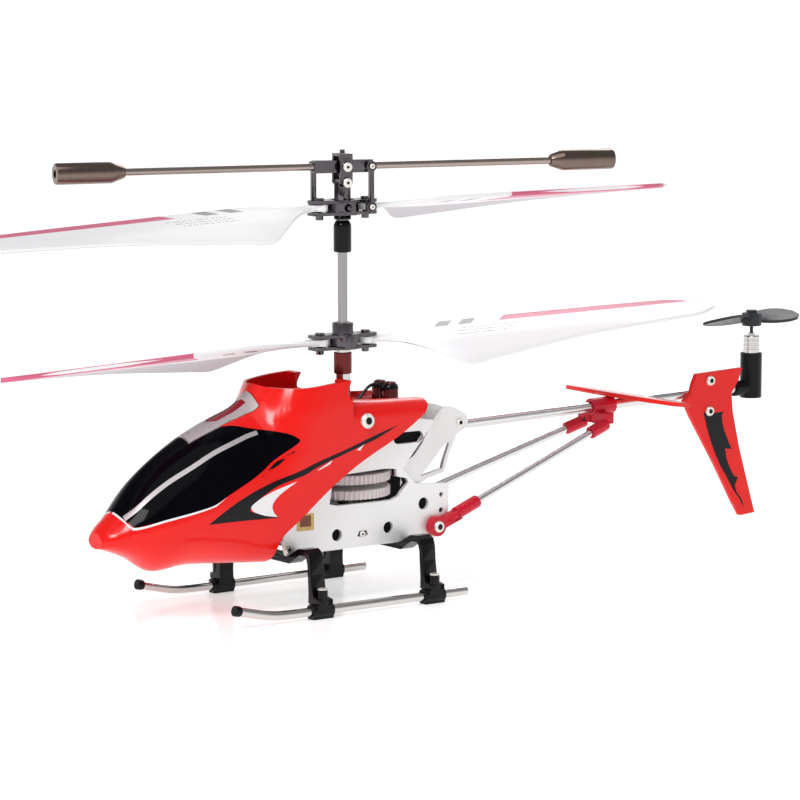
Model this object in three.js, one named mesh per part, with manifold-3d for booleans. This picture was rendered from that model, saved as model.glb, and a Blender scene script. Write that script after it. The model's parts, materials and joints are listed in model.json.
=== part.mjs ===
import * as THREE from "three";
import { mergeVertices } from "three/addons/utils/BufferGeometryUtils.js";
import Module from "manifold-3d";

// A palm-size coaxial helicopter, in millimetres: nose towards -Y, its port side +X, +Z up.
// Every position below is measured from the foot of the rotor mast, with the floor at z = 0.

// ---------------------------------------------------------------- driving dimensions
const MAST_X = -0.06; // mast axis, measured from the middle of the overall width and length
const MAST_Y = -21.64;

const ROTOR_RADIUS = 95;
const BLADE_THICK = 1.1;
const BLADE_PIN_R = 6; // distance of a blade's pin from the mast
const BLADE_ROOT_R = 1.9;

const LOWER_GRIP_Z = 57.65; // mid height between the grip's two plates
const LOWER_AZIMUTH = [80.1, 271.6]; // degrees from +X towards +Y
const LOWER_CONE = [2.5, -1.3]; // degrees, tip up
const LOWER_GRIP_AZIMUTH = 86.8;

const UPPER_GRIP_Z = 87.65;
const UPPER_AZIMUTH = [89.6, 263.6];
const UPPER_CONE = [0.5, -3.3];
const UPPER_GRIP_AZIMUTH = 86.6;
const UPPER_TWIST = 0.8; // the upper blades' pitch beside the lower blades'

const FLYBAR_Z = 96.7;
const FLYBAR_AZIMUTH = 76.3;
const FLYBAR_HALF = 66.5;
const FLYBAR_ROD_R = 0.8;
const LINK_ALONG = 5.96; // link pins, along and across the flybar
const LINK_ACROSS = 2.4;

const INNER_SHAFT_R = 1.1;
const OUTER_SHAFT_IN = 1.35;
const OUTER_SHAFT_OUT = 1.65;

const GEAR_TEETH = 56;
const PINION_TEETH = 8;
const MOTOR_X = 1.95;
const MOTOR_Y = 11.7;
const MOTOR_R = 1.85;
const UPPER_GEAR_Z = 26.6; // underside of each gear
const LOWER_GEAR_Z = 23.2;
const GEAR_THICK = 2.0;

const PLATE_IN = 8.4; // inner face of the side frame plates
const PLATE_THICK = 1.0;

const SKID_X = 19.5;
const SKID_Z = 1.75;
const SKID_R = 1.0;
const STRUT_Y = [-19.9, 10.5];

const BOOM_R = 1.2;
const BOOM_FROM = [26, 36.0]; // y, z
const BOOM_TO = [118.5, 38.0];

const TAIL_Y = 122.3;
const PROP_Z = 54.8;
const PROP_RADIUS = 16;
const PROP_AZIMUTH = 95.4;

// ---------------------------------------------------------------- solids
const wasm = await Module();
wasm.setup();
const { Manifold, Mesh: SolidMesh } = wasm;
const deg = THREE.MathUtils.degToRad;

// Turns a closed three.js geometry into a solid, moved by a matrix.
function solid(geometry, matrix = new THREE.Matrix4()) {
  const bare = geometry.index ? geometry.toNonIndexed() : geometry.clone();
  for (const name of Object.keys(bare.attributes)) if (name !== "position") bare.deleteAttribute(name);
  const merged = mergeVertices(bare.applyMatrix4(matrix), 1e-4);
  const made = (order) => {
    const triVerts = new Uint32Array(merged.index.array);
    if (order < 0)
      for (let i = 0; i < triVerts.length; i += 3)
        [triVerts[i], triVerts[i + 1]] = [triVerts[i + 1], triVerts[i]];
    return new Manifold(
      new SolidMesh({ numProp: 3, vertProperties: merged.attributes.position.array, triVerts }),
    );
  };
  const first = made(1);
  return first.volume() < 0 ? made(-1) : first;
}

const place = (at, turn = [0, 0, 0]) =>
  new THREE.Matrix4().compose(
    new THREE.Vector3(...at),
    new THREE.Quaternion().setFromEuler(new THREE.Euler(...turn.map(deg))),
    new THREE.Vector3(1, 1, 1),
  );

const box = (size, at, turn) => solid(new THREE.BoxGeometry(...size), place(at, turn));

// A round bar between two points, its second end as thick as endR.
function bar(r, from, to, sides = 14, endR = r) {
  const a = new THREE.Vector3(...from);
  const b = new THREE.Vector3(...to);
  const along = b.clone().sub(a);
  const length = along.length();
  const turn = new THREE.Quaternion().setFromUnitVectors(new THREE.Vector3(0, 1, 0), along.normalize());
  const matrix = new THREE.Matrix4().compose(a.add(b).multiplyScalar(0.5), turn, new THREE.Vector3(1, 1, 1));
  return solid(new THREE.CylinderGeometry(endR, r, length, sides), matrix);
}

// A turned piece about +Z from [radius, height] points that start and end on the axis.
const turned = (points, sides = 20) =>
  solid(
    new THREE.LatheGeometry(points.map(([r, z]) => new THREE.Vector2(r, z)), sides),
    place([0, 0, 0], [90, 0, 0]),
  );
const tube = (rOut, rIn, z0, z1, sides = 20) =>
  turned([[rIn, z0], [rOut, z0], [rOut, z1], [rIn, z1], [rIn, z0]], sides);

// A flat outline with holes, extruded between two planes. Outlines are [across, up] pairs.
function outline(points) {
  return new THREE.Shape(points.map(([a, b]) => new THREE.Vector2(a, b)));
}
// The same outline with every edge moved outwards.
function grown(points, by) {
  const area = points.reduce((sum, [a, b], i) => {
    const [c, d] = points[(i + 1) % points.length];
    return sum + a * d - b * c;
  }, 0);
  const out = Math.sign(area) * by;
  return points.map(([a, b], i) => {
    const [pa, pb] = points[(i + points.length - 1) % points.length];
    const [na, nb] = points[(i + 1) % points.length];
    const u = new THREE.Vector2(b - pb, pa - a).normalize();
    const v = new THREE.Vector2(nb - b, a - na).normalize();
    const m = u.clone().add(v).divideScalar(1 + u.dot(v));
    return [a + out * m.x, b + out * m.y];
  });
}
function disc(a, b, r, sides = 14) {
  return Array.from({ length: sides }, (_, i) => {
    const t = (2 * Math.PI * i) / sides;
    return [a + r * Math.cos(t), b + r * Math.sin(t)];
  });
}
function slab(points, from, to, basis, holes = []) {
  const geometry = new THREE.ExtrudeGeometry(outline(points), { depth: to - from, bevelEnabled: false });
  const plain = solid(geometry.translate(0, 0, from), basis);
  return holes.reduce((a, hole) => a.subtract(slab(hole, from - 1, to + 1, basis)), plain);
}
const axes = (x, y, z) =>
  new THREE.Matrix4().makeBasis(new THREE.Vector3(...x), new THREE.Vector3(...y), new THREE.Vector3(...z));
const SIDE = axes([0, 1, 0], [0, 0, 1], [1, 0, 0]); // outline in y, z; extruded along +x
const PLAN = new THREE.Matrix4(); // outline in x, y; extruded along +z
const FRONT = axes([1, 0, 0], [0, 0, 1], [0, -1, 0]); // outline in x, z; extruded along -y
const sideSlab = (points, x0, x1, holes) => slab(points, x0, x1, SIDE, holes);
const planSlab = (points, z0, z1, holes) => slab(points, z0, z1, PLAN, holes);
const frontSlab = (points, y0, y1, holes) => slab(points, -y1, -y0, FRONT, holes);

// A round wire along a curve.
function wire(points, r, steps, sides = 8) {
  const curve = new THREE.CatmullRomCurve3(points.map((p) => new THREE.Vector3(...p)), false, "centripetal");
  return solid(
    new THREE.ExtrudeGeometry(outline(disc(0, 0, r, sides)), { steps, extrudePath: curve, bevelEnabled: false }),
  );
}
const join = (...parts) => parts.reduce((a, b) => a.add(b));

// ---------------------------------------------------------------- materials and nodes
const finish = (color, roughness, metalness) => () =>
  new THREE.MeshStandardMaterial({ color, roughness, metalness });
const redGloss = finish("#d3170f", 0.22, 0);
const redPlastic = finish("#c9261c", 0.4, 0);
const blackGloss = finish("#0b0b0d", 0.15, 0);
const blackPlastic = finish("#17171a", 0.4, 0);
const alloy = finish("#d9dadb", 0.35, 1);
const steel = finish("#b8b6b2", 0.22, 1);
const bronze = finish("#7b6a5d", 0.28, 1);
const whitePlastic = finish("#eeeef0", 0.35, 0);
const gearPlastic = finish("#cfcfce", 0.4, 0);
const greyPlastic = finish("#3c4046", 0.4, 0);
const greenBoard = finish("#1d5a35", 0.5, 0);
const foil = finish("#5b7fae", 0.45, 0.2);
const motorCan = finish("#3a1512", 0.25, 0.6);
const silverPaint = finish("#b9b4b4", 0.3, 0.6);

const helicopter = new THREE.Group();
const mast = new THREE.Group();
mast.position.set(MAST_X, MAST_Y, 0);
helicopter.add(mast);

function node(parent, name, shape, material) {
  const { numProp, vertProperties, triVerts } = shape.getMesh();
  const geometry = new THREE.BufferGeometry();
  if (numProp !== 3) throw new Error(name + " carries extra vertex properties");
  geometry.setAttribute("position", new THREE.BufferAttribute(new Float32Array(vertProperties), 3));
  geometry.setIndex(new THREE.BufferAttribute(new Uint32Array(triVerts), 1));
  const mesh = new THREE.Mesh(geometry, material());
  mesh.name = name;
  parent.add(mesh);
  return mesh;
}
function group(parent, z, azimuth) {
  const made = new THREE.Group();
  made.position.z = z;
  made.rotation.z = deg(azimuth);
  parent.add(made);
  return made;
}
const sides = [
  ["port", 1],
  ["starboard", -1],
];
const mirrored = (shape, side) => (side > 0 ? shape : shape.mirror([1, 0, 0]));

// ---------------------------------------------------------------- canopy
// Smooth curve through [y, value] stations.
const along = (stations) => (y) => {
  const last = stations.length - 1;
  if (y <= stations[0][0]) return stations[0][1];
  if (y >= stations[last][0]) return stations[last][1];
  const i = stations.findIndex(([at]) => at > y) - 1;
  const [y0, v0] = stations[i];
  const [y1, v1] = stations[i + 1];
  const slope = (j) => {
    const a = stations[Math.max(j - 1, 0)];
    const b = stations[Math.min(j + 1, last)];
    return (b[1] - a[1]) / (b[0] - a[0]);
  };
  const t = (y - y0) / (y1 - y0);
  const h = y1 - y0;
  return (
    (2 * t ** 3 - 3 * t ** 2 + 1) * v0 +
    (t ** 3 - 2 * t ** 2 + t) * h * slope(i) +
    (3 * t ** 2 - 2 * t ** 3) * v1 +
    (t ** 3 - t ** 2) * h * slope(i + 1)
  );
};
const NOSE_Y = -65.2;
const CANOPY_END = 18;
const canopyTop = along([[-66, 19.9], [-64, 22.2], [-61, 24.9], [-56, 31], [-50.5, 35.5], [-44, 39.3], [-38, 41.9],
  [-33, 43.8], [-29.5, 45.3], [-27, 47.3], [-25, 49.4], [-23, 51.9], [-19, 55.5], [-13, 58], [4, 57], [18, 52]]);
const canopyBottom = along([[-66, 17.4], [-64, 17], [-58, 14.6], [-52, 11.1], [-44, 11.7], [-34, 11.2], [18, 9.6]]);
const canopyHalf = along([[-66, 1.5], [-64, 4.2], [-61, 6.1], [-55, 9.7], [-45, 12.4], [-35, 13.3],
  [-25, 13.6], [-10, 13.1], [5, 11.9], [18, 10.6]]);
const canopyWaist = along([[-66, 18.8], [-61, 20], [-50, 22.5], [-35, 25.5], [-20, 27.5], [18, 29]]);
// How square the section is, above and below its waist.
const powerUp = along([[-66, 1.6], [-50, 1.5], [-40, 1.74], [-34, 1.85], [-30, 1.7], [-27, 1.5], [-24, 1.7],
  [-21, 2.3], [-15, 3.6], [-8, 4.2], [4, 4.2], [18, 5.5]]);
const powerDown = along([[-66, 2], [-50, 1.7], [-40, 2.04], [-34, 2.4], [-30, 3], [-24, 3.7], [18, 4]]);
// The lower crest of the deck behind the scoop.
const deckTop = along([[-20, 43.6], [-6, 45.6], [6, 45.2], [18, 44.8]]);

// The canopy's moulded outer form, drawn in by inset on every face.
function canopyForm(inset, crest = canopyTop, wider = 0, square = 0) {
  const form = new THREE.CylinderGeometry(1, 1, 1, 24, 21).toNonIndexed();
  const at = form.attributes.position;
  for (let i = 0; i < at.count; i++) {
    const t = at.getY(i) + 0.5;
    const y = NOSE_Y + inset + (CANOPY_END - NOSE_Y - inset) * t ** 1.25;
    const c = at.getX(i);
    const s = at.getZ(i);
    const n = s > 0 ? Math.max(powerUp(y), square) : powerDown(y);
    const k = 1 / Math.max((Math.abs(c) ** n + Math.abs(s) ** n) ** (1 / n), 1e-9);
    const r = Math.hypot(c, s) > 0.5 ? k : 0;
    const waist = canopyWaist(y);
    const reach = s > 0 ? crest(y) - waist - inset : waist - canopyBottom(y) - inset;
    at.setXYZ(i, (canopyHalf(y) + wider - inset) * c * r, y, waist + Math.max(reach, 0.4) * s * r);
  }
  return solid(form);
}
const CANOPY_RIM = [[-32, 60], [-28, 54], [-25.4, 50.6], [-22, 49.4], [-17, 49.5], [-11, 50.1], [-6, 50.4],
  [-7.4, 47.6], [-6.2, 45.7], [-6, 47], [16.2, 47], [16.4, 43.4]];
const CANOPY_EDGE = [[15, 41.4], [7.8, 37.3], [-4.2, 32], [-12.8, 27], [-20.8, 21.1], [-25, 17.9], [-26, 14.9],
  [-26, 8]];
const CANOPY_WALL = 0.9;
const canopyOutline = [[-70, 5], [-70, 60], ...CANOPY_RIM, ...CANOPY_EDGE];
// Cuts away what stands above the deck from the given station to the tail.
const aboveDeck = (from, inset) => sideSlab([[from, 36], [from, 70], [40, 70], [40, 36]], -20, 20)
  .subtract(canopyForm(inset, deckTop, 0.5, 6));
const WINDOW = [[-61.6, 30], [-61, 25], [-60.5, 23.8], [-59.3, 22.1], [-53.6, 23.6], [-46.7, 25.1], [-42.6, 26.2],
  [-38.9, 28.1], [-30.9, 32], [-21.8, 37.3], [-20.5, 38.6], [-23, 40], [-29.2, 41.1], [-33.6, 41.9], [-37.8, 41.1],
  [-41.8, 39.5], [-44, 42], [-61.6, 42]];
const WINDOW_DEPTH = 0.45;

const PLATE = [[-21.9, 12.5], [18.8, 12.5], [21.6, 14.2], [22.4, 17], [22.8, 24.6], [13.4, 25.4], [9.9, 29],
  [12.6, 32.2], [17.4, 37.4], [18.4, 39.4], [13, 40.2], [2, 40.6], [-8, 38], [-16, 30], [-21.6, 22], [-23, 16]];

const VENT = [[-3.2, -43.1], [3.2, -43.1], [3.9, -36], [4, -28.6], [4.7, -25.8], [-4.7, -25.8], [-4, -28.6],
  [-3.9, -36]];
const ventCutter = (grow) =>
  planSlab(VENT.map(([x, y]) => [x * (1 + grow / 4), -34.4 + (y + 34.4) * (1 + grow / 8.6)]), 32, 60);
{
  const outer = canopyForm(0).subtract(aboveDeck(-6.1, 0));
  const window = sideSlab(WINDOW, -25, 25);
  const rebated = outer.subtract(sideSlab(grown(WINDOW, 0.15), -25, 25)).add(canopyForm(WINDOW_DEPTH + 0.15)
    .subtract(aboveDeck(-6.1, WINDOW_DEPTH)));
  const opening = planSlab([[-7.6, -9], [7.6, -9], [7.6, 40], [-7.6, 40]], 40.5, 70);
  const shell = rebated
    .intersect(sideSlab(canopyOutline, -25, 25))
    .subtract(canopyForm(CANOPY_WALL).subtract(aboveDeck(-7.6, CANOPY_WALL)))
    .subtract(opening)
    .subtract(join(...sides.map(([, side]) => mirrored(sideSlab(grown(PLATE, 0.3), PLATE_IN - 0.3,
      PLATE_IN + PLATE_THICK + 0.25), side))))
    .subtract(ventCutter(0.15));
  node(mast, "canopy_shell", biggest(shell), redGloss);
  const glass = canopyForm(0.01).intersect(window).subtract(canopyForm(WINDOW_DEPTH - 0.05)).subtract(ventCutter(0.3));
  node(mast, "windshield", biggest(glass), blackGloss);
  node(mast, "top_vent", biggest(canopyForm(0.02).intersect(ventCutter(-0.1)).subtract(canopyForm(0.8))), silverPaint);
}
function biggest(shape) {
  return shape.decompose().sort((a, b) => b.volume() - a.volume())[0];
}
// Each screw lies square to the canopy's slope.
const screwAt = (out) => [12.5 + 0.995 * out, -2.5, 41.2 + 0.1 * out];
for (const [name, side] of sides)
  node(mast, "canopy_screw_" + name, mirrored(join(bar(1.7, screwAt(0.35), screwAt(0.75), 18),
    bar(1.1, screwAt(0.7), screwAt(1.2))), side), steel);

// ---------------------------------------------------------------- side frame plates
const GEAR_WINDOW = [[-10.3, 22.9], [-8, 22.4], [6.6, 22.3], [8.6, 23], [9.6, 24.2], [11.4, 25.8], [10.9, 26.8],
  [8.2, 27.4], [8, 29.2], [4.4, 29.5], [-7.6, 29.1], [-9.6, 27]];
const arc = (a, b, r, from, to, steps = 6) =>
  Array.from({ length: steps + 1 }, (_, i) => {
    const t = deg(from + ((to - from) * i) / steps);
    return [a + r * Math.cos(t), b + r * Math.sin(t)];
  });
const slot = (y0, y1, z, r) => [...arc(y1, z, r, -90, 90), ...arc(y0, z, r, 90, 270)];
const PLATE_HOLES = [GEAR_WINDOW, disc(-8.3, 15.8, 1.35, 12), disc(5.8, 16.1, 1.35, 12), slot(8.5, 14.3, 36, 1.25),
  disc(15.6, 20.6, 1.4, 10), disc(20.6, 22.2, 0.55, 8), disc(20.6, 18.6, 0.65, 8),
  [[-2.7, 15], [-1.2, 14.6], [0.3, 15.2], [-0.2, 16.1], [-2.2, 16.1]]];
for (const [name, side] of sides) {
  node(mast, "frame_plate_" + name, mirrored(sideSlab(PLATE, PLATE_IN, PLATE_IN + PLATE_THICK, PLATE_HOLES), side),
    alloy);

  // The arm that cranks inwards from the plate to the boom, flat against the plate's inner face.
  const crank = planSlab([[8.3, 9], [8.3, 16], [3.6, 25.8], [3.6, 37], [2.7, 37], [2.7, 25.4], [7.4, 15.6], [7.4, 9]],
    20, 45);
  const arm = sideSlab([[9.2, 29], [11.4, 24.8], [14, 25], [18, 25.8], [25.6, 26.2], [27.2, 30.4], [29.4, 34.6],
    [32.4, 36.4], [32.2, 38.6], [29, 40.6], [26, 41.2], [23.4, 40.6], [19.5, 37.9], [13.7, 31.6]], 0, 12);
  node(mast, "boom_bracket_" + name, mirrored(biggest(crank.intersect(arm)), side), alloy);
}

// Blocks that hold the plates apart and carry the mast and the motors.
{
  const low = box([2 * PLATE_IN - 0.2, 9, 3], [0, 0, 19.6]);
  node(mast, "bearing_block_lower", low.subtract(bar(1.45, [0, 0, 17], [0, 0, 22], 20)), blackPlastic);
  const high = planSlab([[-8.3, -4.5], [8.3, -4.5], [8.3, 7.6], [7.1, 8.6], [7.1, 15], [-7.1, 15], [-7.1, 8.6],
      [-8.3, 7.6]], 31.2, 34.6)
    .subtract(bar(1.95, [0, 0, 30], [0, 0, 36], 20));
  const bores = [1, -1].map((s) => bar(MOTOR_R + 0.15, [s * MOTOR_X, MOTOR_Y, 30], [s * MOTOR_X, MOTOR_Y, 36], 16));
  node(mast, "bearing_block_upper", high.subtract(join(...bores)), blackPlastic);
}

// ---------------------------------------------------------------- battery, board and switch
node(mast, "battery_pack", box([13.6, 24, 8], [0, -38, 19.5]), foil);
{
  const board = box([16.4, 22, 1], [0, -9, 14.4]);
  const chips = [box([5, 5, 1.2], [2, -4, 15.4]), box([3, 6, 1], [-4, -8, 15.3]), box([6, 3, 1.6], [1, -14, 15.6])];
  const switchCase = box([4, 7, 2.2], [0, -7, 12.9]).subtract(box([2, 4.4, 1.6], [0, -7, 11.9]));
  node(mast, "control_board", join(board, ...chips, switchCase), greenBoard);
  node(mast, "power_switch_slider", join(box([1.4, 1.6, 1.6], [0, -8, 11.7]), box([1.4, 1.2, 0.6], [0, -8, 10.7])),
    blackPlastic);
}

// ---------------------------------------------------------------- landing gear
// Half of a strut arch, from the middle under the frame out and down to its skid clamp.
function strutArch(y) {
  const half = [[-0.1, 10.9], [9.9, 10.9], [11.9, 12.1], [14, 13.3], [15.9, 13.4], [16.6, 12.8], [17, 11.5],
    [17.2, 8.5], [17.4, 5.4], [17.3, 3.2], [21.6, 3.2], [21.6, 4.4], [19.4, 4.8], [18.8, 6.4], [18.3, 9.5],
    [18.1, 12.6], [17.5, 14.2], [16.2, 14.9], [13.6, 14.7], [11, 13.4], [9.5, 12.4], [-0.1, 12.4]];
  const band = frontSlab(half, y - 1.85, y + 1.85);
  const clamp = bar(1.65, [SKID_X, y - 2.75, SKID_Z], [SKID_X, y + 2.75, SKID_Z], 24);
  const foot = box([2.2, 5.5, 0.8], [SKID_X, y, 0.4]);
  const neck = box([3.4, 3.7, 2.4], [SKID_X, y, 2.9]);
  const peg = join(bar(1.15, [SKID_X + 1.2, y - 0.3, 3.4], [SKID_X + 1.2, y - 0.3, 6.6], 10));
  const side = join(band, clamp, foot, neck, peg);
  return join(side, side.mirror([1, 0, 0])).subtract(
    join(...[1, -1].map((s) => bar(SKID_R + 0.1, [s * SKID_X, y - 6, SKID_Z], [s * SKID_X, y + 6, SKID_Z], 12))),
  );
}
node(mast, "front_strut_arch", strutArch(STRUT_Y[0]), blackGloss);
node(mast, "rear_strut_arch", strutArch(STRUT_Y[1]), blackGloss);

const SKID_PATH = [[20, SKID_Z], [-10, SKID_Z], [-29, SKID_Z], [-33, 2.1], [-37, 2.9], [-41, 3.85]];
for (const [name, side] of sides) {
  const path = SKID_PATH.map(([y, z]) => [SKID_X, y, z]);
  node(mast, "skid_tube_" + name, mirrored(wire(path, SKID_R, 14, 10), side), steel);
  const cap = join(bar(1.2, [SKID_X, -41.15, 3.88], [SKID_X, -42.6, 4.22], 10));
  node(mast, "skid_cap_" + name, mirrored(cap, side), blackPlastic);
}

// ---------------------------------------------------------------- tail boom, braces, tail planes
const boomZ = (y) => BOOM_FROM[1] + ((y - BOOM_FROM[0]) * (BOOM_TO[1] - BOOM_FROM[1])) / (BOOM_TO[0] - BOOM_FROM[0]);
const boomAt = (y) => [0, y, boomZ(y)];
node(mast, "tail_boom", bar(BOOM_R, boomAt(BOOM_FROM[0]), boomAt(BOOM_TO[0]), 14), steel);

const BRACE_LOW = [9.9, 28.2, 19];
const BRACE_HIGH = [4.2, 71, 32.6];
const braceAt = (t) => BRACE_LOW.map((v, i) => v + (BRACE_HIGH[i] - v) * t);
const EYE = [18.4, 15.3];
for (const [name, side] of sides) {
  node(mast, "brace_rod_" + name, mirrored(bar(0.85, braceAt(0), braceAt(1), 10), side), steel);
  const eye = bar(2.3, [9.6, ...EYE], [11.3, ...EYE], 16);
  const neck = box([1.7, 7, 2.6], [10.45, 21.6, 16.5], [20, 0, 0]);
  const socket = bar(1.5, braceAt(-0.1), braceAt(0.055), 10);
  const bore = bar(0.95, braceAt(-0.006), braceAt(0.2), 10);
  const screwHole = bar(0.85, [9, ...EYE], [12, ...EYE], 10);
  node(mast, "brace_fitting_" + name, mirrored(join(eye, neck, socket).subtract(bore).subtract(screwHole), side),
    redPlastic);
  const screw = join(bar(0.75, [9.6, ...EYE], [11.6, ...EYE], 10), bar(1.3, [11.4, ...EYE], [12, ...EYE], 10));
  node(mast, "brace_screw_" + name, mirrored(screw, side), steel);
}
{
  // Clip under the boom with a socket for each brace rod and a saddle for the stabiliser.
  const ring = bar(2.1, boomAt(71.6), boomAt(78.2), 14);
  const sockets = [1, -1].map((s) => {
    const flip = ([x, y, z]) => [s * x, y, z];
    return bar(1.5, flip(braceAt(0.93)), flip(braceAt(1.05)), 10)
      .add(box([4.4, 3.4, 2.6], [s * 2.4, 73.4, 34.6]))
      .subtract(bar(0.95, flip(braceAt(0.8)), flip(braceAt(1.004)), 10));
  });
  node(mast, "stabiliser_bracket", join(ring, ...sockets).subtract(bar(BOOM_R + 0.1, boomAt(60), boomAt(95), 14)),
    redPlastic);
  const half = [[0, 76], [4, 76.6], [19, 79.6], [19.6, 82], [18.4, 87], [4, 89.4], [0, 90]];
  const plan = [...half, ...half.slice(1, -1).reverse().map(([x, y]) => [-x, y])];
  // Nose-up, notched underneath for the boom and the clip.
  const tilted = (shape) => shape.translate([0, -83, -38.65]).rotate([-8.6, 0, 0]).translate([0, 83, 38.65]);
  node(mast, "horizontal_stabiliser", tilted(planSlab(plan, 38.2, 39.2))
    .subtract(bar(BOOM_R + 0.1, boomAt(60), boomAt(95), 14)).subtract(bar(2.25, boomAt(60), boomAt(78.4), 14)),
    redPlastic);
}
{
  const fin = [[102.6, 42.8], [117.2, 43.3], [116, 40.2], [113.9, 37.4], [114.3, 33], [116.5, 24], [121.8, 7.3],
    [117, 7], [115, 10], [108, 21.6], [101.2, 32], [98.6, 36.5], [100.8, 38.2], [101.4, 40.3]];
  node(mast, "vertical_fin", sideSlab(fin, 1.35, 2.55, [disc(106.8, 40.9, 0.7, 8), disc(106.6, 33.5, 0.7, 8)]),
    redGloss);
  for (const [name, y, z] of [["upper", 106.8, 40.9], ["lower", 106.6, 33.5]])
    node(mast, "fin_screw_" + name, join(bar(0.55, [1.3, y, z], [2.9, y, z], 10), bar(1.25, [2.7, y, z],
      [3.3, y, z], 10)), steel);
}
{
  // Upright holder with a side stub that takes the boom's end.
  const cup = bar(2.65, [0, TAIL_Y, 35.4], [0, TAIL_Y, 46.4], 16);
  const stub = bar(1.9, [0, 116.6, 37.9], [0, TAIL_Y, 38], 14);
  const well = bar(2.1, [0, TAIL_Y, 42], [0, TAIL_Y, 50], 16);
  node(mast, "tail_motor_housing", join(cup, stub).subtract(well).subtract(bar(BOOM_R + 0.1, boomAt(110),
    boomAt(BOOM_TO[0] + 0.1), 14)), blackPlastic);
  const can = bar(2, [0, TAIL_Y, 42.1], [0, TAIL_Y, 50.6], 16).add(bar(0.9, [0, TAIL_Y, 50.5], [0, TAIL_Y, 51.2], 12));
  node(mast, "tail_motor", can.subtract(bar(0.6, [0, TAIL_Y, 48], [0, TAIL_Y, 52], 10)), steel);
}

// ---------------------------------------------------------------- motors and their lead
for (const [name, side] of sides) {
  const at = (z) => [MOTOR_X, MOTOR_Y, z];
  const can = join(bar(MOTOR_R, at(31), at(46.6), 16), bar(1.45, at(46.5), at(47.8), 12));
  node(mast, "main_motor_" + name, mirrored(can.subtract(bar(0.7, at(30), at(34), 10)), side), motorCan);
}
node(mast, "motor_lead", wire([[MOTOR_X, 9.7, 46], [1.6, 8.6, 47.4], [1, 6.8, 47.2], [0.4, 5.2, 45.4], [0, 4, 43.8],
  [-1.8, 2.8, 43.3], [-4.2, 1.6, 43.2], [-5.6, -1, 42.6]], 0.35, 18, 8), blackPlastic);

// ---------------------------------------------------------------- gears
const gearSpan = Math.hypot(MOTOR_X, MOTOR_Y);
const PINION_PITCH_R = (gearSpan * PINION_TEETH) / (GEAR_TEETH + PINION_TEETH);
const GEAR_PITCH_R = gearSpan - PINION_PITCH_R;
function gearOutline(teeth, pitchR, phase) {
  const points = [];
  const pitch = (2 * Math.PI) / teeth;
  for (let i = 0; i < teeth; i++)
    for (const [r, part] of [[pitchR - 0.42, -0.23], [pitchR + 0.25, -0.12], [pitchR + 0.25, 0.12],
      [pitchR - 0.42, 0.23]]) {
      const t = phase + pitch * (i + part);
      points.push([r * Math.cos(t), r * Math.sin(t)]);
    }
  return points;
}
const towards = (side) => Math.atan2(MOTOR_Y, side * MOTOR_X);
const bigGear = (z, bore, side) =>
  planSlab(gearOutline(GEAR_TEETH, GEAR_PITCH_R, towards(side) + Math.PI / GEAR_TEETH), z, z + GEAR_THICK)
    .add(bar(3.2, [0, 0, z - 0.5], [0, 0, z + GEAR_THICK + 0.5], 20))
    .subtract(bar(bore, [0, 0, z - 2], [0, 0, z + GEAR_THICK + 2], 20));
for (const [name, side, z] of [["port", 1, UPPER_GEAR_Z], ["starboard", -1, LOWER_GEAR_Z]]) {
  const motor = new THREE.Group();
  motor.position.set(side * MOTOR_X, MOTOR_Y, 0);
  mast.add(motor);
  const pinion = planSlab(gearOutline(PINION_TEETH, PINION_PITCH_R, towards(side) + Math.PI), z - 0.2,
    z + GEAR_THICK + 0.2);
  node(motor, "motor_pinion_" + name, pinion.add(bar(0.4, [0, 0, z], [0, 0, 33.6], 10)), bronze);
}

// ---------------------------------------------------------------- blade grips and blades
// A grip: two plates with a pin near each end, drawn about z = 0 with its long axis along +X.
function grip(hubR, holeR) {
  const quarter = [[8.3, 1.4], [7.5, 2.2], [3.6, 2.3], [1.6, hubR - 0.3]];
  const half = [...quarter, ...quarter.slice().reverse().map(([x, y]) => [-x, y])];
  const order = [...half, ...half.slice().reverse().map(([x, y]) => [x, -y])];
  const plates = [0.95, -1.7].map((z) => planSlab(order, z, z + 0.75));
  const hub = bar(hubR, [0, 0, -1.6], [0, 0, 1.6], 20);
  const pins = [1, -1].map((s) =>
    join(
      bar(0.6, [s * BLADE_PIN_R, 0, -2.6], [s * BLADE_PIN_R, 0, 1.9], 10),
      bar(1.1, [s * BLADE_PIN_R, 0, 1.6], [s * BLADE_PIN_R, 0, 2.2], 10),
      bar(0.9, [s * BLADE_PIN_R, 0, -2.7], [s * BLADE_PIN_R, 0, -1.6], 6),
    ),
  );
  return join(...plates, hub, ...pins).subtract(bar(holeR, [0, 0, -5], [0, 0, 5], 20));
}

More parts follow.
